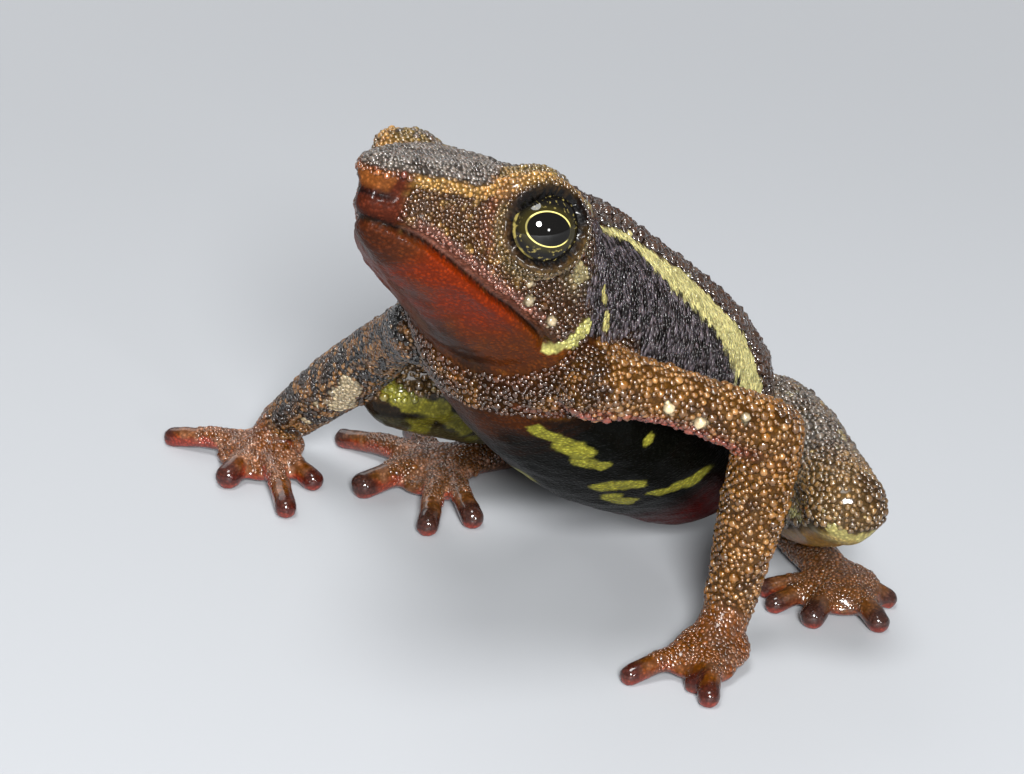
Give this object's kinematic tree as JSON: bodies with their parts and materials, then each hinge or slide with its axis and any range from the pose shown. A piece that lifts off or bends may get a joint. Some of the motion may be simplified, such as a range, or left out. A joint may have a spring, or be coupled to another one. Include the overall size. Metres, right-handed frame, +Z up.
{
  "type": "oxapampa stubfoot toad",
  "caption": "Still, life-size figure of a small stubfoot toad sitting up on its spread hands and feet, snout raised, with a bumpy glossy skin.",
  "frame": {"origin": "on the floor, under the middle of the toad's box", "axes": "-Y the way the toad faces, +X its left, +Z up"},
  "size_m": [0.0298, 0.024, 0.019],
  "materials": {
    "skin_head": "wet, warty, semi-gloss",
    "skin_body": "wet, granular, semi-gloss",
    "skin_limb": "wet, warty, glossy",
    "skin_digit": "wet, smooth, glossy",
    "eye": "clear wet gloss"
  },
  "bodies": {
    "root": {"head": "skin_head", "torso": "skin_body", "eye_left": "eye", "eye_right": "eye", "upper_arm_left": "skin_limb", "forearm_left": "skin_limb", "hand_left": "skin_digit", "upper_arm_right": "skin_limb", "forearm_right": "skin_limb", "hand_right": "skin_digit", "thigh_left": "skin_limb", "shank_left": "skin_limb", "foot_left": "skin_digit", "thigh_right": "skin_limb", "shank_right": "skin_limb", "foot_right": "skin_digit"}
  },
  "joints": []
}
